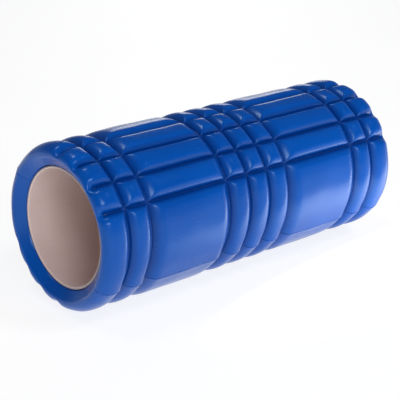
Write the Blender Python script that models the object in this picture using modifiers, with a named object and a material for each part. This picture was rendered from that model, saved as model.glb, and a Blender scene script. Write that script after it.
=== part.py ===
"""Massage foam roller: two moulded EVA half shells bonded round a hollow core tube.

Metres, +Z up. The roller lies along X, with the origin at the middle of its axis.
Both half shells come from one mould. Ring grooves part each shell into rows of pads,
and lengthwise grooves part the middle of its arc into narrow pads. What is left on
either side, as far as the seams, is the shell's share of two wide smooth pads.
"""

import math

import bmesh
import bpy

# Overall sizes
ROLLER_LENGTH = 0.330
ROLLER_RADIUS = 0.070
TUBE_RADIUS = 0.051
TUBE_WALL = 0.002
TUBE_RECESS = 0.007
TUBE_CHAMFER = 0.0004

# Rows of pads along the roller: three short ones in the middle, then a long one
# and a short one on each side, and what is left of the length at each end
SHORT_ROW = 0.0226
LONG_ROW = 0.0838
MIDDLE_ROWS = 3

# Pads round each shell's arc
NARROW_PADS = 3
NARROW_PITCH = math.radians(20)

# Grooves between the pads, and the rounded shoulders that fall into them
GROOVE_DEPTH = 0.0068
SHORT_SHOULDER = SHORT_ROW / 2
LONG_SHOULDER = 0.0125
SIDE_SHOULDER = 0.0088
RING_FULLNESS = 0.76
SIDE_FULLNESS = 0.72

# The skin runs straight, not round, over this much of the arc beside a seam
SEAM_STRAIGHT = math.radians(8)

# Ends of the foam: rounded outside, and flared inside towards the recessed tube
END_ROUND_LENGTH = 0.0125
END_ROUND_HEIGHT = 0.0085
MOUTH_RADIUS = 0.0594
MOUTH_DEPTH = 0.0063
GROOVE_FADE = 6

# Bond lines: cured adhesive, with a hair of clearance on each side of it
CLEARANCE = 0.0003
FILM = 0.0003
SHELL_BORE_RADIUS = TUBE_RADIUS + CLEARANCE + FILM + CLEARANCE
SEAM_HALF_GAP = FILM / 2 + CLEARANCE
SEAM_BOND_INSET = 0.0012
FILM_MARGIN = 0.002

# The seam plane leans back about X: low at the front, high at the rear
SEAM_TILT = math.radians(34.5)

# Mesh fineness
SHOULDER_SHARES = (0.15, 0.5, 1)
WIDE_STEPS = 6
END_ROUND_STEPS = 5
FILM_STEPS = 24
TUBE_STEPS = 64
SPIN = math.radians(90)

HALF_LENGTH = ROLLER_LENGTH / 2
TUBE_HALF_LENGTH = HALF_LENGTH - TUBE_RECESS
INNER_GROOVE = MIDDLE_ROWS * SHORT_ROW / 2
RIGHT_GROOVES = (
    INNER_GROOVE - SHORT_ROW,
    INNER_GROOVE,
    INNER_GROOVE + LONG_ROW,
    INNER_GROOVE + LONG_ROW + SHORT_ROW,
)
RING_GROOVES = [-x for x in reversed(RIGHT_GROOVES)] + list(RIGHT_GROOVES)
SIDE_GROOVES = [NARROW_PITCH * (n - NARROW_PADS / 2) for n in range(NARROW_PADS + 1)]
SEAM_ANGLE = math.pi / 2
CREST_RADIUS = ROLLER_RADIUS / math.cos(SEAM_STRAIGHT)


def clear_scene():
    for obj in list(bpy.data.objects):
        bpy.data.objects.remove(obj)


def new_collection(name):
    made = bpy.data.collections.new(name)
    bpy.context.scene.collection.children.link(made)
    return made


def new_material(name, colour, roughness):
    made = bpy.data.materials.new(name)
    made.use_nodes = True
    shader = made.node_tree.nodes["Principled BSDF"]
    shader.inputs["Base Color"].default_value = (*colour, 1)
    shader.inputs["Roughness"].default_value = roughness
    shader.inputs["Metallic"].default_value = 0
    return made


def add_object(name, mesh, collection, turn=0):
    """Puts a mesh in the collection, turned about the roller's axis."""
    made = bpy.data.objects.new(name, mesh)
    made.rotation_euler.x = turn
    collection.objects.link(made)
    return made


def shoulder_rise(share, fullness):
    """Height of a rounded shoulder at a share of its width: 0 in the groove, 1 on top.
    A fullness of 0.5 makes it a quarter of an ellipse, and 1 a parabola."""
    return (1 - (1 - min(share, 1)) ** 2) ** fullness


def row_shoulder(x):
    """Width of the shoulders in the row that x lies in."""
    long_row = INNER_GROOVE < abs(x) < INNER_GROOVE + LONG_ROW
    return LONG_SHOULDER if long_row else SHORT_SHOULDER


def skin_radius(x, angle):
    """Radius of the padded skin. The lower of a pad's shoulders wins, which mitres its
    corners. The grooves run on over the rounded ends and fade out at the flat face."""
    to_ring = min(abs(x - groove) for groove in RING_GROOVES)
    to_side = min(abs(angle - groove) for groove in SIDE_GROOVES) * ROLLER_RADIUS
    rise = min(
        shoulder_rise(to_ring / row_shoulder(x), RING_FULLNESS),
        shoulder_rise(to_side / SIDE_SHOULDER, SIDE_FULLNESS),
    )
    straight = max(abs(angle) - (SEAM_ANGLE - SEAM_STRAIGHT), 0)
    crest = ROLLER_RADIUS / math.cos(straight)
    rounding = max(abs(x) - HALF_LENGTH + END_ROUND_LENGTH, 0) / END_ROUND_LENGTH
    fall = crest - ROLLER_RADIUS + END_ROUND_HEIGHT
    groove = GROOVE_DEPTH * (1 - rise) * math.sqrt(max(1 - rounding**GROOVE_FADE, 0))
    return crest - fall * (1 - math.sqrt(max(1 - rounding**2, 0))) - groove


def shoulders(start, end, width):
    """Places across a pad from its groove at start to just before its groove at end."""
    rising = [start + width * share for share in (0, *SHOULDER_SHARES)]
    falling = [end - width * share for share in reversed(SHOULDER_SHARES)]
    shoulders_meet = end - start <= 2 * width
    return rising + falling[shoulders_meet:]


def end_profile():
    """The shell's right end as (x, radius): its full radius, rounding, face, mouth, bore."""
    points = []
    height = CREST_RADIUS - ROLLER_RADIUS + END_ROUND_HEIGHT
    for step in range(END_ROUND_STEPS + 1):
        turn = math.pi / 2 * step / END_ROUND_STEPS
        x = HALF_LENGTH - END_ROUND_LENGTH * (1 - math.sin(turn))
        points.append((x, CREST_RADIUS - height * (1 - math.cos(turn))))
    points.append((HALF_LENGTH, MOUTH_RADIUS))
    points.append((HALF_LENGTH - MOUTH_DEPTH, SHELL_BORE_RADIUS))
    return points


def shell_outline():
    """The uncut shell's closed outline in a plane through the axis, as (x, radius)."""
    right = end_profile()
    left = [(-x, radius) for x, radius in reversed(right)]
    last = RING_GROOVES[-1]
    fall = [last + SHORT_SHOULDER * share for share in (0, *SHOULDER_SHARES[:-1])]
    rows = []
    for start, end in zip(RING_GROOVES, RING_GROOVES[1:]):
        rows += shoulders(start, end, row_shoulder((start + end) / 2))
    places = [-x for x in reversed(fall)][:-1] + rows + fall
    return left + [(x, CREST_RADIUS) for x in places] + right


def shell_arc():
    """Angles from seam to seam where the shell's outline is placed, with 0 at its middle."""
    width = SIDE_SHOULDER / ROLLER_RADIUS
    narrow = []
    for start, end in zip(SIDE_GROOVES, SIDE_GROOVES[1:]):
        narrow += shoulders(start, end, width)
    last = SIDE_GROOVES[-1]
    wide = [last + width * share for share in (0, *SHOULDER_SHARES)]
    top = wide[-1]
    straight_start = SEAM_ANGLE - SEAM_STRAIGHT
    wide += [top + (straight_start - top) * n / WIDE_STEPS for n in range(1, WIDE_STEPS + 1)]
    wide += [SEAM_ANGLE]
    return [-angle for angle in reversed(wide)][:-1] + narrow + wide


def half_turned(name, outline, arc, padded=False):
    """A closed mesh made of an outline of (x, radius) carried round the angles in arc.
    It is held off the seam plane by the seam's half gap."""
    shape = bmesh.new()
    section = shape.faces.new([shape.verts.new((x, 0, radius)) for x, radius in outline])
    steps = len(arc) - 1
    bmesh.ops.spin(
        shape, geom=[section], cent=(0, 0, 0), axis=(1, 0, 0), angle=SPIN, steps=steps
    )
    for vert in shape.verts:
        x, y, z = vert.co
        radius = math.hypot(y, z)
        angle = arc[round(math.atan2(-y, z) / SPIN * steps)]
        if padded:
            radius = min(radius, skin_radius(x, angle))
        limit = math.acos(SEAM_HALF_GAP / radius)
        angle = max(-limit, min(limit, angle))
        vert.co = (x, -radius * math.sin(angle), radius * math.cos(angle))
    bmesh.ops.recalc_face_normals(shape, faces=shape.faces)
    mesh = bpy.data.meshes.new(name)
    shape.to_mesh(mesh)
    shape.free()
    mesh.shade_smooth()
    return mesh


def seam_bond_mesh(name):
    """A flat sheet with the outline of a shell's edge, drawn in a little all round."""
    sheet = bmesh.new()
    corners = []
    for x, radius in shell_outline():
        if radius > MOUTH_RADIUS:
            radius = min(radius, skin_radius(x, SEAM_ANGLE)) - SEAM_BOND_INSET
        else:
            radius += SEAM_BOND_INSET
        x *= 1 - SEAM_BOND_INSET / HALF_LENGTH
        corners.append(sheet.verts.new((x, -radius, 0)))
    sheet.faces.new(corners)
    mesh = bpy.data.meshes.new(name)
    sheet.to_mesh(mesh)
    sheet.free()
    return mesh


def add_tube(collection, finish):
    """The core tube: its wall's section, with chamfered corners, turned by a Screw modifier."""
    inner = TUBE_RADIUS - TUBE_WALL
    outline = [
        (TUBE_RADIUS - TUBE_CHAMFER, TUBE_HALF_LENGTH),
        (TUBE_RADIUS, TUBE_HALF_LENGTH - TUBE_CHAMFER),
        (TUBE_RADIUS, TUBE_CHAMFER - TUBE_HALF_LENGTH),
        (TUBE_RADIUS - TUBE_CHAMFER, -TUBE_HALF_LENGTH),
        (inner + TUBE_CHAMFER, -TUBE_HALF_LENGTH),
        (inner, TUBE_CHAMFER - TUBE_HALF_LENGTH),
        (inner, TUBE_HALF_LENGTH - TUBE_CHAMFER),
        (inner + TUBE_CHAMFER, TUBE_HALF_LENGTH),
    ]
    corners = [(radius, 0, height) for radius, height in outline]
    edges = [(n, (n + 1) % len(corners)) for n in range(len(corners))]
    mesh = bpy.data.meshes.new("core_tube")
    mesh.from_pydata(corners, edges, [])
    mesh.materials.append(finish)
    tube = add_object("core_tube", mesh, collection)
    tube.rotation_euler.y = math.pi / 2
    turn = tube.modifiers.new("Turn", "SCREW")
    turn.axis = "Z"
    turn.steps = turn.render_steps = TUBE_STEPS
    turn.use_merge_vertices = True
    turn.merge_threshold = 0.0001
    turn.use_smooth_shade = True


def add_shells(collection, finish):
    mesh = half_turned("foam_shell", shell_outline(), shell_arc(), padded=True)
    mesh.materials.append(finish)
    add_object("foam_shell_upper", mesh, collection, SEAM_TILT)
    add_object("foam_shell_lower", mesh, collection, SEAM_TILT + math.pi)


def add_adhesive(collection, finish):
    """Adhesive over the tube, under each shell, and down each seam between the shells."""
    inner = TUBE_RADIUS + CLEARANCE
    end = TUBE_HALF_LENGTH - FILM_MARGIN
    section = [(-end, inner), (-end, inner + FILM), (end, inner + FILM), (end, inner)]
    arc = [math.pi * n / FILM_STEPS - SEAM_ANGLE for n in range(FILM_STEPS + 1)]
    film = half_turned("adhesive_film", section, arc)
    bond = seam_bond_mesh("seam_bond")
    film.materials.append(finish)
    bond.materials.append(finish)
    add_object("adhesive_film_upper", film, collection, SEAM_TILT)
    add_object("adhesive_film_lower", film, collection, SEAM_TILT + math.pi)
    for name, turn in (("front", SEAM_TILT), ("rear", SEAM_TILT + math.pi)):
        plate = add_object("seam_bond_" + name, bond, collection, turn)
        thicken = plate.modifiers.new("Thicken", "SOLIDIFY")
        thicken.thickness = FILM
        thicken.offset = 0


def main():
    clear_scene()
    roller = new_collection("foam_roller")
    eva = new_material("blue_eva_foam", (0.0, 0.06, 0.42), 0.35)
    plastic = new_material("pale_tube_plastic", (0.62, 0.58, 0.55), 0.4)
    adhesive = new_material("cured_adhesive", (0.02, 0.04, 0.16), 0.5)
    add_tube(roller, plastic)
    add_shells(roller, eva)
    add_adhesive(roller, adhesive)


main()
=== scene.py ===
"""Looks of the massage foam roller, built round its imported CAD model.

Metres, +Z up, in the CAD frame: the roller lies along X with its middle at the origin.
The two foam half shells and the core tube are replaced by fine meshes of the same
shape. The adhesive keeps its CAD solids. Everything gets a procedural material.
"""

import math

import bpy
import numpy as np
from mathutils import Matrix, Vector


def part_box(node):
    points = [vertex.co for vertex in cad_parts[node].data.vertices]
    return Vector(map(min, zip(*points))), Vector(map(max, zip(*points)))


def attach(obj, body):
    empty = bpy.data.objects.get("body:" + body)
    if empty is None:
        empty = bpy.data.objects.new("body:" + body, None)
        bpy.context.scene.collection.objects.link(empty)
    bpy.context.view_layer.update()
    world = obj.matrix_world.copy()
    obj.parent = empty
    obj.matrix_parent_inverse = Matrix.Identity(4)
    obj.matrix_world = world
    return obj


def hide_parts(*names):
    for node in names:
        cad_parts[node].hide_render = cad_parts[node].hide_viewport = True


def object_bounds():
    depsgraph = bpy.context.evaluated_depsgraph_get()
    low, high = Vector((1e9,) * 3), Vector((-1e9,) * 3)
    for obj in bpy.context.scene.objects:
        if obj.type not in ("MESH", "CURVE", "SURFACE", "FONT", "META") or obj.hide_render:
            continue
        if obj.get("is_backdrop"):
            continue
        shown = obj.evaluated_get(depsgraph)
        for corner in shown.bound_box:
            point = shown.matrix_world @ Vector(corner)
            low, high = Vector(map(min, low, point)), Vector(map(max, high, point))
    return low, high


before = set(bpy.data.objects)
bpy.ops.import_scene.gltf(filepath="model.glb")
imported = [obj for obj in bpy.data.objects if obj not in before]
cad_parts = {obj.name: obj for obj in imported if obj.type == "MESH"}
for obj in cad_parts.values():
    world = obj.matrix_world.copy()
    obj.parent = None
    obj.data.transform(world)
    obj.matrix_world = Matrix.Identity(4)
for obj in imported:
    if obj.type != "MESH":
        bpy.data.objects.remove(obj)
cad_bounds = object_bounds()

# Overall sizes. The CAD shells' facets lie a hair inside the true radius.
ROLLER_RADIUS = 0.070
HALF_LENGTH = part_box("foam_shell_upper")[1].x
TUBE_HALF_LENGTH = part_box("core_tube")[1].x
TUBE_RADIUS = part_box("core_tube")[1].z
GLUE_LINE = 0.0007
SHELL_BORE_RADIUS = TUBE_RADIUS + GLUE_LINE
SEAM_TILT = math.radians(34.5)

# Pad pattern: the CAD model's rows of pads, with grooves a hair shallower than its own.
# A fullness sets how a shoulder of a pad is rounded, as shoulder_rise explains.
SHORT_ROW = 0.0226
LONG_ROW = 0.0838
INNER_GROOVE = 1.5 * SHORT_ROW
OUTER_GROOVE = INNER_GROOVE + LONG_ROW
RIGHT_GROOVES = (INNER_GROOVE - SHORT_ROW, INNER_GROOVE, OUTER_GROOVE, OUTER_GROOVE + SHORT_ROW)
RING_GROOVES = np.array([-x for x in reversed(RIGHT_GROOVES)] + list(RIGHT_GROOVES))
SIDE_GROOVES = np.radians([-30, -10, 10, 30])
GROOVE_DEPTH = 0.0066
GROOVE_HALF_FLOOR = 0.0006
SHORT_SHOULDER = SHORT_ROW / 2 - GROOVE_HALF_FLOOR
LONG_SHOULDER = 0.0125
SIDE_SHOULDER = 0.0088
SHORT_FULLNESS = 0.76
LONG_FULLNESS = 0.88
SIDE_FULLNESS = 0.72
LONG_ROW_CROWN = 0.10
MITRE_ROUNDING = 0.14

# Seams. The skin runs straight beside them, and their edges are rounded. The margin,
# a share of an edge's width, makes sure that the edge's first column counts as edge.
SEAM_ANGLE = math.pi / 2
SEAM_STRAIGHT = math.radians(9)
SEAM_HALF_GAP = 0.00016
SEAM_EDGE_RADIUS = 0.0004
SEAM_EDGE_MARGIN = 0.001

# Ends of the shells: outer rounding, over which the grooves fade out, lip, flared mouth,
# and a narrow crevice round the end of the tube
END_ROUND_LENGTH = 0.0125
END_ROUND_HEIGHT = 0.0085
GROOVE_FADE_START = math.radians(40)
GROOVE_FADE_END = math.radians(92)
LIP_RADIUS = 0.0042
MOUTH_DEPTH = 0.0064
MOUTH_INNER_RADIUS = 0.0520
MOUTH_SHARES = (0.2, 0.4, 0.6, 0.8, 0.92, 1)
CREVICE_DEPTH = 0.003

# Unevenness of the moulded skin: height, and crossing waves, each with its share of the
# height, its radians per metre along and around the roller, and its share of the phase
SKIN_WAVE_HEIGHT = 0.00010
SKIN_WAVES = (
    (1.0, 96, 41, 1.0),
    (1.0, 57, -88, 2.1),
    (0.6, 171, 133, -1.0),
    (0.4, -208, 240, 1.7),
)
UPPER_PHASE = 0.0
LOWER_PHASE = 2.4

# Core tube: wall, rounded corners of the sawn ends, and unevenness of the wall
TUBE_WALL = 0.0020
TUBE_INNER_CORNER = 0.0013
TUBE_OUTER_CORNER = 0.0004
SAWN_DEPTH = 0.00012
TUBE_OVALNESS = 0.00005
TUBE_RIPPLE = 0.00003

# Steps of the meshes. Crowding is the power that draws them together towards a groove.
FLOOR_STEPS = 2
RING_SHOULDER_STEPS = 12
SIDE_SHOULDER_STEPS = 10
LONG_TOP_STEPS = 16
NARROW_TOP_STEPS = 3
WIDE_TOP_STEPS = 34
END_ROW_STEPS = 14
CROWDING = 1.8
SEAM_EDGE_POINTS = 5
END_ROUND_POINTS = 30
LIP_POINTS = 8
TUBE_CORNER_POINTS = 7
TUBE_BORE_POINTS = 42
TUBE_STEP_DEGREES = 2.5

# Colours, linear. The sheen tints the foam's reflections. Most of a noise's values lie in
# the usual span.
FOAM_BLUES = ((0.0, 0.066, 0.37), (0.0, 0.082, 0.43))
# Painted shade, laid into the grooves between the pads
FOAM_CREASE_SHADE = (0.0, 0.022, 0.18)
FOAM_SPECK = (0.02, 0.13, 0.6)
FOAM_SHEEN = (0.58, 0.86, 1.0)
PIPE_GREYS = ((0.71, 0.55, 0.51), (0.79, 0.64, 0.61))
PIPE_DUST = (0.82, 0.72, 0.69)
# Painted shade on the tube's sawn end faces
PIPE_SAWN_SHADE = (0.30, 0.25, 0.25)
ADHESIVE_DARKS = ((0.006, 0.014, 0.06), (0.02, 0.03, 0.1))
FLOOR_GREYS = ((0.20, 0.20, 0.21), (0.23, 0.23, 0.24))
BACKDROP_WHITE = (0.90, 0.95, 1.0)
USUAL_SPAN = (0.3, 0.7)

# Camera, from its direction, its distance and the point it looks at beside the origin
CAMERA_AZIMUTH = math.radians(-41.335)
CAMERA_ELEVATION = math.radians(19.375)
CAMERA_DISTANCE = 1.0853
CAMERA_RIGHT = -0.00840
CAMERA_UP = -0.01202
CAMERA_LENS = 110.76

# The floor glows evenly like a lit table, and brightest in a painted pool of light, an oval along
# the roller's front. The backdrop's heights are sines of the elevation, and between them it dims
# upwards.
FLOOR_SIZE = 12
FLOOR_GLOW = 0.84
PAINTED_POOL_GLOW = 3.9
POOL_CENTRE = (0.25, -0.13)
POOL_SIZE = (0.38, 0.085)
POOL_FADE = (0.2, 1.0)
BACKDROP_HEIGHTS = (0.05, 0.4)


def graded(start, end, steps, crowd=None):
    """Places from start to end, not counting end, closer together at the crowded side."""
    share = np.arange(steps) / max(steps, 1)
    if crowd == "start":
        share = share**CROWDING
    elif crowd == "end":
        share = 1 - (1 - share) ** CROWDING
    return list(start + (end - start) * share)


def pad_places(start, end, half_floor, shoulder, shoulder_steps, top_steps):
    """Places across one pad, from the middle of one groove to the middle of the next."""
    low, high = start + half_floor, end - half_floor
    return (
        graded(start, low, FLOOR_STEPS)
        + graded(low, low + shoulder, shoulder_steps, crowd="start")
        + graded(low + shoulder, high - shoulder, top_steps)
        + graded(high - shoulder, high, shoulder_steps, crowd="end")
        + graded(high, end, FLOOR_STEPS)
    )


def shoulder_rise(share, fullness):
    """Height of a rounded shoulder at a share of its width: 0 in the groove, 1 on top.
    A fullness of 0.5 makes it a quarter of an ellipse, and 1 a parabola."""
    return (1 - (1 - np.clip(share, 0, 1)) ** 2) ** fullness


def lower_of(a, b, rounding):
    """The lower of two heights, rounded off where they cross."""
    mix = np.clip(0.5 + (b - a) / (2 * rounding), 0, 1)
    return b * (1 - mix) + a * mix - rounding * mix * (1 - mix)


def skin_rise(x, angle):
    """Height of the pads: 0 on the groove floor, and 1 where both shoulders are up."""
    to_ring = np.min(np.abs(x[..., None] - RING_GROOVES), axis=-1) - GROOVE_HALF_FLOOR
    to_side = np.min(np.abs(angle[..., None] - SIDE_GROOVES), axis=-1)
    to_side = to_side * ROLLER_RADIUS - GROOVE_HALF_FLOOR
    in_long_row = (np.abs(x) > INNER_GROOVE) & (np.abs(x) < OUTER_GROOVE)
    width = np.where(in_long_row, LONG_SHOULDER, SHORT_SHOULDER)
    fullness = np.where(in_long_row, LONG_FULLNESS, SHORT_FULLNESS)
    ring = shoulder_rise(to_ring / width, fullness)
    from_middle = np.clip(1 - to_ring / (LONG_ROW / 2), 0, 1)
    ring = ring * (1 - np.where(in_long_row, LONG_ROW_CROWN * from_middle**2, 0))
    side = shoulder_rise(to_side / SIDE_SHOULDER, SIDE_FULLNESS)
    # Rounding lowers equal heights by a quarter of itself, and the division undoes that.
    return lower_of(ring, side, MITRE_ROUNDING) / (1 - MITRE_ROUNDING / 4)


def row_places():
    """Places along the skin between the outermost ring grooves. A short row's shoulders
    meet in its middle."""
    places = []
    for start, end in zip(RING_GROOVES, RING_GROOVES[1:]):
        long_row = end - start > 2 * SHORT_ROW
        shoulder = LONG_SHOULDER if long_row else SHORT_SHOULDER
        top_steps = LONG_TOP_STEPS if long_row else 0
        places += pad_places(
            start, end, GROOVE_HALF_FLOOR, shoulder, RING_SHOULDER_STEPS, top_steps
        )
    return places


def unit(x, y):
    length = math.hypot(x, y)
    return x / length, y / length


def end_outline():
    """The right end from where its rounding starts to the bore, as rows of x, radius,
    outward normal (x, radius), share of the grooves' depth and share of the skin's waves."""
    rows = []
    for turn in np.linspace(0, math.pi / 2, END_ROUND_POINTS):
        x = HALF_LENGTH - END_ROUND_LENGTH * (1 - math.sin(turn))
        r = ROLLER_RADIUS - END_ROUND_HEIGHT * (1 - math.cos(turn))
        normal = unit(math.sin(turn) / END_ROUND_LENGTH, math.cos(turn) / END_ROUND_HEIGHT)
        share = (turn - GROOVE_FADE_START) / (GROOVE_FADE_END - GROOVE_FADE_START)
        share = min(max(share, 0), 1)
        rows.append((x, r, *normal, 1 - share * share * (3 - 2 * share), 1))
    # The lip turns until it points straight at the mouth's inner edge.
    centre = (HALF_LENGTH - LIP_RADIUS, rows[-1][1])
    inner = (HALF_LENGTH - MOUTH_DEPTH, MOUTH_INNER_RADIUS)
    to_inner = (inner[0] - centre[0], inner[1] - centre[1])
    stop = -math.atan2(to_inner[1], to_inner[0])
    stop -= math.acos(LIP_RADIUS / math.hypot(*to_inner))
    for turn in np.linspace(0, stop, LIP_POINTS)[1:]:
        x = centre[0] + LIP_RADIUS * math.cos(turn)
        r = centre[1] - LIP_RADIUS * math.sin(turn)
        rows.append((x, r, math.cos(turn), -math.sin(turn), 0, 1))
    lip_x, lip_r, *normal = rows[-1][:4]
    for share in MOUTH_SHARES:
        x, r = lip_x + (inner[0] - lip_x) * share, lip_r + (inner[1] - lip_r) * share
        rows.append((x, r, *normal, 0, 1 - share))
    crevice = TUBE_HALF_LENGTH - CREVICE_DEPTH
    rows.append((crevice, MOUTH_INNER_RADIUS, 0, -1, 0, 0))
    rows.append((crevice, SHELL_BORE_RADIUS, 0, -1, 0, 0))
    return rows


def shell_outline():
    """The smooth shell's outline from bore to bore, in columns as end_outline gives them."""
    last = RING_GROOVES.max()
    floor_end = last + GROOVE_HALF_FLOOR
    places = graded(last, floor_end, FLOOR_STEPS)
    places += graded(floor_end, HALF_LENGTH - END_ROUND_LENGTH, END_ROW_STEPS, crowd="start")
    right = [(x, ROLLER_RADIUS, 0, 1, 1, 1) for x in places] + end_outline()
    left = [(-x, r, -nx, nr, groove, wave) for x, r, nx, nr, groove, wave in reversed(right)]
    middle = [(x, ROLLER_RADIUS, 0, 1, 1, 1) for x in row_places()]
    return np.array(left[:-1] + middle + right).T


def shell_arc():
    """Angles from seam to seam, close together on shoulders and at the seams."""
    half_floor = GROOVE_HALF_FLOOR / ROLLER_RADIUS
    shoulder = SIDE_SHOULDER / ROLLER_RADIUS
    narrow = []
    for start, end in zip(SIDE_GROOVES, SIDE_GROOVES[1:]):
        narrow += pad_places(
            start, end, half_floor, shoulder, SIDE_SHOULDER_STEPS, NARROW_TOP_STEPS
        )
    last = SIDE_GROOVES[-1]
    low = last + half_floor
    edge = SEAM_ANGLE - SEAM_EDGE_RADIUS / ROLLER_RADIUS
    wide = graded(last, low, FLOOR_STEPS)
    wide += graded(low, low + shoulder, SIDE_SHOULDER_STEPS, crowd="start")
    wide += graded(low + shoulder, edge, WIDE_TOP_STEPS)
    wide += list(np.linspace(edge, SEAM_ANGLE, SEAM_EDGE_POINTS))
    return np.array([-angle for angle in reversed(wide)][:-1] + narrow + wide)


def grid_faces(rows, columns, closed_rows=False):
    """Corner numbers of the quads of a grid whose points run column by column."""
    row, column = np.meshgrid(
        np.arange(rows if closed_rows else rows - 1), np.arange(columns - 1), indexing="ij"
    )
    a = column * rows + row
    b = column * rows + (row + 1) % rows
    return np.stack([a, a + rows, b + rows, b], axis=-1).reshape(-1, 4)


def mesh_object(name, points, faces, attribute, values):
    """A smooth-shaded object with one number for each point, which its material reads."""
    mesh = bpy.data.meshes.new(name)
    mesh.from_pydata(points.reshape(-1, 3).tolist(), [], [list(map(int, face)) for face in faces])
    mesh.update()
    layer = mesh.attributes.new(attribute, "FLOAT", "POINT")
    layer.data.foreach_set("value", values.reshape(-1).astype(np.float32))
    mesh.shade_smooth()
    made = bpy.data.objects.new(name, mesh)
    bpy.context.scene.collection.objects.link(made)
    return made


def waviness(x, angle, phase):
    """Slight unevenness of the moulded skin, in metres: long, shallow waves that cross."""
    around = angle * ROLLER_RADIUS
    return SKIN_WAVE_HEIGHT * sum(
        share * np.sin(x * along + around * across + shift * phase)
        for share, along, across, shift in SKIN_WAVES
    )


def shell_points(outline, arc, tilt, phase):
    """A half shell's points, column by column from seam to seam, and the height of each
    on its pad: 0 on the groove floor, and 1 on top or where the grooves have faded out."""
    x, radius, normal_x, normal_r, groove, wave = np.repeat(outline[:, None, :], len(arc), axis=1)
    angle = np.repeat(arc[:, None], outline.shape[1], axis=1)
    rise = 1 - (1 - skin_rise(x, angle)) * groove

    # Beside a seam the outer skin runs straight, and so makes a slight ridge at the seam.
    straight = np.maximum(np.abs(angle) - (SEAM_ANGLE - SEAM_STRAIGHT), 0)
    skin_height = ROLLER_RADIUS - MOUTH_INNER_RADIUS
    outer_share = np.clip((radius - MOUTH_INNER_RADIUS) / skin_height, 0, 1)
    ridge = 1 + (1 / np.cos(straight) - 1) * outer_share

    # Grooves, waves and the rounding of the seam's edges all go in along the normal.
    to_seam = (SEAM_ANGLE - np.abs(angle)) * ROLLER_RADIUS
    edge = np.clip(1 + SEAM_EDGE_MARGIN - to_seam / SEAM_EDGE_RADIUS, 0, 1)
    edge_sink = SEAM_EDGE_RADIUS * (1 - np.sqrt(1 - edge**2))
    sink = GROOVE_DEPTH * (1 - rise) + (edge_sink - waviness(x, angle, phase)) * wave
    radius = radius * ridge - normal_r * sink
    x = x - normal_x * sink

    # The columns of a seam's rounded edge are drawn back together, by half the gap.
    drawn_back = np.sign(angle) * (edge > 0) * np.arcsin(SEAM_HALF_GAP / radius)
    turned = angle - drawn_back + tilt
    return np.stack([x, -radius * np.sin(turned), radius * np.cos(turned)], axis=-1), rise


def shell_faces(rows, columns):
    """A closed half shell's faces: its skin, its bore hidden on the tube, its seam edges."""
    last = (columns - 1) * rows
    faces = list(grid_faces(rows, columns))
    faces += [
        (c * rows + rows - 1, (c + 1) * rows + rows - 1, (c + 1) * rows, c * rows)
        for c in range(columns - 1)
    ]
    return faces + [range(rows), range(last + rows - 1, last - 1, -1)]


def foam_shell(name, tilt, phase):
    """One half shell, closed: padded skin, rounded ends, flared mouths, bore, seam edges."""
    outline = shell_outline()
    arc = shell_arc()
    points, rise = shell_points(outline, arc, tilt, phase)
    return mesh_object(name, points, shell_faces(outline.shape[1], len(arc)), "rise", rise)


def pipe_outline():
    """The tube wall's closed outline: four rounded corners, and even steps in the bore."""
    inner = TUBE_RADIUS - TUBE_WALL
    outline = []
    for side, r, corner, start in (
        (1, inner + TUBE_INNER_CORNER, TUBE_INNER_CORNER, 270),
        (1, TUBE_RADIUS - TUBE_OUTER_CORNER, TUBE_OUTER_CORNER, 0),
        (-1, TUBE_RADIUS - TUBE_OUTER_CORNER, TUBE_OUTER_CORNER, 90),
        (-1, inner + TUBE_INNER_CORNER, TUBE_INNER_CORNER, 180),
    ):
        x = side * (TUBE_HALF_LENGTH - corner)
        for turn in np.radians(np.linspace(start, start + 90, TUBE_CORNER_POINTS)):
            outline.append((x + corner * math.cos(turn), r + corner * math.sin(turn)))
    bore = np.linspace(outline[-1][0], outline[0][0], TUBE_BORE_POINTS)[1:-1]
    return np.array(outline + [(x, inner) for x in bore])


def core_pipe(name):
    """The core tube, closed. The attribute sawn is 1 on its end faces, where the material paints
    shade.
    """
    outline = pipe_outline()
    arc = np.radians(np.arange(0, 360, TUBE_STEP_DEGREES))
    x = np.repeat(outline[None, :, 0], len(arc), axis=0)
    radius = np.repeat(outline[None, :, 1], len(arc), axis=0)
    angle = np.repeat(arc[:, None], len(outline), axis=1)
    radius = radius + TUBE_OVALNESS * np.sin(2 * angle + 0.7)
    radius = radius + TUBE_RIPPLE * np.sin(5 * angle + 9 * x)
    points = np.stack([x, -radius * np.sin(angle), radius * np.cos(angle)], axis=-1)
    rows = len(outline)
    faces = grid_faces(rows, len(arc) + 1, closed_rows=True)[:, ::-1] % (rows * len(arc))
    sawn = (np.abs(x) > TUBE_HALF_LENGTH - SAWN_DEPTH).astype(float)
    return mesh_object(name, points, faces, "sawn", sawn)


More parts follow.
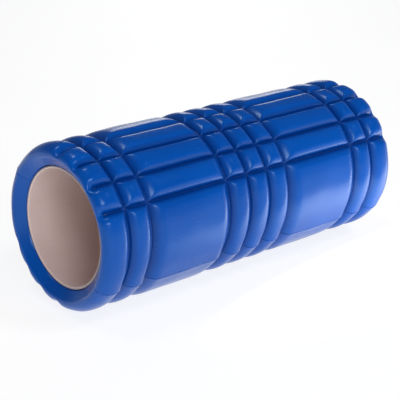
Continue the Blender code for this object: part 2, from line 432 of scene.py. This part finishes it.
class Nodes:
    """A material's nodes, made one line at a time."""

    def __init__(self, name):
        self.material = bpy.data.materials.new(name)
        self.material.use_nodes = True
        self.tree = self.material.node_tree
        self.shader = self.tree.nodes["Principled BSDF"]
        self.place = self.add("ShaderNodeTexCoord").outputs["Object"]

    def add(self, kind, **settings):
        made = self.tree.nodes.new(kind)
        for key, value in settings.items():
            setattr(made, key, value)
        return made

    def link(self, source, socket):
        self.tree.links.new(source, socket)

    def stretched(self, x, y, z):
        """The object's coordinates, scaled along each axis."""
        made = self.add("ShaderNodeMapping")
        made.inputs["Scale"].default_value = (x, y, z)
        self.link(self.place, made.inputs["Vector"])
        return made.outputs["Vector"]

    def noise(self, scale, detail=3.0, roughness=0.5, place=None):
        made = self.add("ShaderNodeTexNoise")
        made.inputs["Scale"].default_value = scale
        made.inputs["Detail"].default_value = detail
        made.inputs["Roughness"].default_value = roughness
        self.link(place or self.place, made.inputs["Vector"])
        return made.outputs["Fac"]

    def pits(self, scale):
        """Distance to the nearest of scattered points."""
        made = self.add("ShaderNodeTexVoronoi")
        made.inputs["Scale"].default_value = scale
        self.link(self.place, made.inputs["Vector"])
        return made.outputs["Distance"]

    def ranged(self, value, span, onto, smooth=False):
        """A value carried from one span onto another, and held at its ends."""
        kind = "SMOOTHSTEP" if smooth else "LINEAR"
        made = self.add("ShaderNodeMapRange", interpolation_type=kind)
        for socket, number in zip(made.inputs[1:5], (*span, *onto)):
            socket.default_value = number
        self.link(value, made.inputs[0])
        return made.outputs[0]

    def total(self, a, b):
        made = self.add("ShaderNodeMath", operation="ADD")
        self.link(a, made.inputs[0])
        self.link(b, made.inputs[1])
        return made.outputs[0]

    def mixed(self, share, a, b):
        """Colour a turning to colour b by share."""
        made = self.add("ShaderNodeMix", data_type="RGBA")
        self.link(share, made.inputs["Factor"])
        for socket, value in zip([s for s in made.inputs if s.type == "RGBA"], (a, b)):
            if isinstance(value, tuple):
                socket.default_value = (*value, 1)
            else:
                self.link(value, socket)
        return [s for s in made.outputs if s.type == "RGBA"][0]

    def attribute(self, name):
        made = self.add("ShaderNodeAttribute", attribute_name=name)
        return made.outputs["Fac"]

    def bump(self, height, distance, strength=1.0, over=None):
        made = self.add("ShaderNodeBump")
        made.inputs["Distance"].default_value = distance
        made.inputs["Strength"].default_value = strength
        self.link(height, made.inputs["Height"])
        if over is not None:
            self.link(over, made.inputs["Normal"])
        return made.outputs["Normal"]

    def finish(self, colour, roughness, normal):
        self.link(colour, self.shader.inputs["Base Color"])
        self.link(roughness, self.shader.inputs["Roughness"])
        self.link(normal, self.shader.inputs["Normal"])
        return self.material


def foam_material():
    """Blue EVA foam with a smooth moulded skin: cloudiness, painted shade in the creases, specks,
    scuffed streaks, faint grain and pores."""
    n = Nodes("eva_skin_blue")
    n.shader.inputs["IOR"].default_value = 1.45
    n.shader.inputs["Specular Tint"].default_value = (*FOAM_SHEEN, 1.0)
    cloud = n.noise(scale=14, detail=4)
    colour = n.mixed(n.ranged(cloud, USUAL_SPAN, (0, 1)), *FOAM_BLUES)
    # Painted shade: the colour darkens towards the groove floors, where rise is low.
    crease_shade = n.ranged(n.attribute("rise"), (0.0, 0.8), (0.75, 0.0))
    colour = n.mixed(crease_shade, colour, FOAM_CREASE_SHADE)
    speck = n.ranged(n.noise(scale=900, detail=1), (0.66, 0.74), (0, 0.25))
    colour = n.mixed(speck, colour, FOAM_SPECK)
    handled = n.noise(scale=35, detail=4, roughness=0.6)
    streaks = n.noise(scale=40, detail=6, roughness=0.7, place=n.stretched(0.4, 3, 3))
    roughness = n.total(
        n.ranged(handled, USUAL_SPAN, (0.19, 0.26)), n.ranged(streaks, (0.6, 0.72), (0, 0.14))
    )
    pores = n.ranged(n.pits(scale=300), (0.0, 0.2), (0, 1))
    grain = n.bump(n.noise(scale=380, detail=2), distance=0.000025)
    return n.finish(colour, roughness, n.bump(pores, distance=0.000008, over=grain))


def pipe_material():
    """Pale warm-grey extruded plastic: faint lengthwise draw lines, mottling and dust, and
    painted shade on the sawn ends."""
    n = Nodes("pipe_plastic_pale")
    lines = n.noise(scale=6, detail=6, roughness=0.7, place=n.stretched(1, 90, 90))
    mottle = n.noise(scale=22, detail=5)
    tone = n.total(n.ranged(lines, USUAL_SPAN, (0, 0.3)), n.ranged(mottle, USUAL_SPAN, (0, 0.7)))
    colour = n.mixed(tone, *PIPE_GREYS)
    dust = n.ranged(n.noise(scale=420, detail=2), (0.62, 0.75), (0, 0.35))
    colour = n.mixed(dust, colour, PIPE_DUST)
    # Painted shade: the sawn end faces are darkened.
    sawn = n.ranged(n.attribute("sawn"), (0, 1), (0, 0.85))
    colour = n.mixed(sawn, colour, PIPE_SAWN_SHADE)
    roughness = n.ranged(mottle, USUAL_SPAN, (0.38, 0.52))
    drawn = n.bump(lines, distance=0.0002, strength=0.5)
    fine = n.noise(scale=800, detail=2)
    return n.finish(colour, roughness, n.bump(fine, distance=0.00004, over=drawn))


def adhesive_material():
    """Cured contact adhesive, dark between the blue edges, with an uneven surface."""
    n = Nodes("contact_adhesive")
    blotch = n.noise(scale=160, detail=4)
    colour = n.mixed(n.ranged(blotch, USUAL_SPAN, (0, 1)), *ADHESIVE_DARKS)
    roughness = n.ranged(blotch, USUAL_SPAN, (0.35, 0.6))
    return n.finish(colour, roughness, n.bump(blotch, distance=0.0002))


def floor_material():
    """Pale matt floor that glows evenly, and most of all in a painted pool of light."""
    n = Nodes("pale_floor_painted_pool")
    tone = n.noise(scale=3, detail=3)
    colour = n.mixed(n.ranged(tone, USUAL_SPAN, (0, 1)), *FLOOR_GREYS)
    roughness = n.ranged(tone, USUAL_SPAN, (0.6, 0.7))
    pool = n.add("ShaderNodeMapping", vector_type="TEXTURE")
    pool.inputs["Location"].default_value = (*POOL_CENTRE, 0)
    pool.inputs["Scale"].default_value = (*POOL_SIZE, 1)
    n.link(n.place, pool.inputs["Vector"])
    reach = n.add("ShaderNodeVectorMath", operation="LENGTH")
    n.link(pool.outputs["Vector"], reach.inputs[0])
    # Painted pool of light: the glow rises from the floor's even level to its brightest in the
    # pool.
    glow = n.ranged(reach.outputs["Value"], POOL_FADE, (PAINTED_POOL_GLOW, FLOOR_GLOW), smooth=True)
    n.link(glow, n.shader.inputs["Emission Strength"])
    n.shader.inputs["Emission Color"].default_value = (1, 1, 1, 1)
    return n.finish(colour, roughness, n.bump(n.noise(scale=60, detail=3), distance=0.0001))


def add_foam_halves():
    """Both half shells come from one mould, so the lower is the upper turned half round."""
    foam = foam_material()
    upper = foam_shell("foam_half_upper", SEAM_TILT, UPPER_PHASE)
    lower = foam_shell("foam_half_lower", SEAM_TILT + math.pi, LOWER_PHASE)
    for shell, node in ((upper, "foam_shell_upper"), (lower, "foam_shell_lower")):
        shell.data.materials.append(foam)
        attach(shell, "root")
        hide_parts(node)


def add_core_pipe():
    pipe = core_pipe("core_pipe")
    pipe.data.materials.append(pipe_material())
    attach(pipe, "root")
    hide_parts("core_tube")


def dress_adhesive():
    """The adhesive films and seam bonds keep their CAD solids, and get their material."""
    adhesive = adhesive_material()
    for name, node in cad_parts.items():
        if name.startswith(("adhesive_film", "seam_bond")):
            node.material_slots[0].material = adhesive


def add_floor():
    bpy.ops.mesh.primitive_plane_add(size=FLOOR_SIZE, location=(0, 0, -ROLLER_RADIUS))
    floor = bpy.context.object
    floor.name = "floor"
    floor.data.materials.append(floor_material())
    floor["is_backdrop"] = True


def add_softbox(name, place, size, power, mirrored=True):
    """A square area light that faces the roller. One that isn't mirrored only lights it,
    and leaves no highlight."""
    light = bpy.data.lights.new(name, "AREA")
    light.size = size
    light.energy = power
    made = bpy.data.objects.new(name, light)
    made.location = place
    made.visible_camera = False
    made.visible_glossy = mirrored
    made.rotation_euler = (-Vector(place)).to_track_quat("-Z", "Y").to_euler()
    bpy.context.scene.collection.objects.link(made)


def add_lights():
    add_softbox("key", place=(0.75, -1.2, 1.6), size=0.6, power=18, mirrored=False)
    add_softbox("front_fill", place=(-1.0, -1.9, 0.55), size=0.8, power=6, mirrored=False)
    add_softbox("rim", place=(1.35, 1.55, 0.55), size=0.6, power=2.2)
    add_softbox("front_spot", place=(-0.85, -1.65, 1.0), size=0.6, power=9)
    add_softbox("top_spot", place=(-0.35, 0.45, 2.0), size=0.5, power=6)


def add_backdrop(overhead, horizon):
    """A plain world: bright round the horizon, and dimmer overhead."""
    world = bpy.data.worlds.new("studio")
    world.use_nodes = True
    nodes, links = world.node_tree.nodes, world.node_tree.links
    background = nodes["Background"]
    background.inputs["Color"].default_value = (*BACKDROP_WHITE, 1)
    heading = nodes.new("ShaderNodeTexCoord")
    split = nodes.new("ShaderNodeSeparateXYZ")
    fall = nodes.new("ShaderNodeMapRange")
    fall.interpolation_type = "SMOOTHSTEP"
    for socket, number in zip(fall.inputs[1:5], (*BACKDROP_HEIGHTS, horizon, overhead)):
        socket.default_value = number
    links.new(heading.outputs["Generated"], split.inputs["Vector"])
    links.new(split.outputs["Z"], fall.inputs["Value"])
    links.new(fall.outputs["Result"], background.inputs["Strength"])
    bpy.context.scene.world = world


def add_camera():
    """A long lens at the photographed side: left of the front, and above."""
    cos, sin = math.cos, math.sin
    back = Vector(
        (
            sin(CAMERA_AZIMUTH) * cos(CAMERA_ELEVATION),
            -cos(CAMERA_AZIMUTH) * cos(CAMERA_ELEVATION),
            sin(CAMERA_ELEVATION),
        )
    )
    right = Vector((cos(CAMERA_AZIMUTH), sin(CAMERA_AZIMUTH), 0))
    up = back.cross(right)
    lens = bpy.data.cameras.new("camera")
    lens.lens = CAMERA_LENS
    camera = bpy.data.objects.new("camera", lens)
    place = CAMERA_RIGHT * right + CAMERA_UP * up + CAMERA_DISTANCE * back
    turn = Matrix((right, up, back)).transposed().to_4x4()
    camera.matrix_world = Matrix.Translation(place) @ turn
    bpy.context.scene.collection.objects.link(camera)
    bpy.context.scene.camera = camera


def main():
    add_foam_halves()
    add_core_pipe()
    dress_adhesive()
    add_floor()
    add_backdrop(overhead=0.10, horizon=0.42)
    add_lights()
    add_camera()
    bpy.context.scene.view_settings.view_transform = "Standard"


main()
bounds = {"cad": cad_bounds, "visual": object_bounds()}
bounds = {key: [list(map(float, corner)) for corner in box] for key, box in bounds.items()}
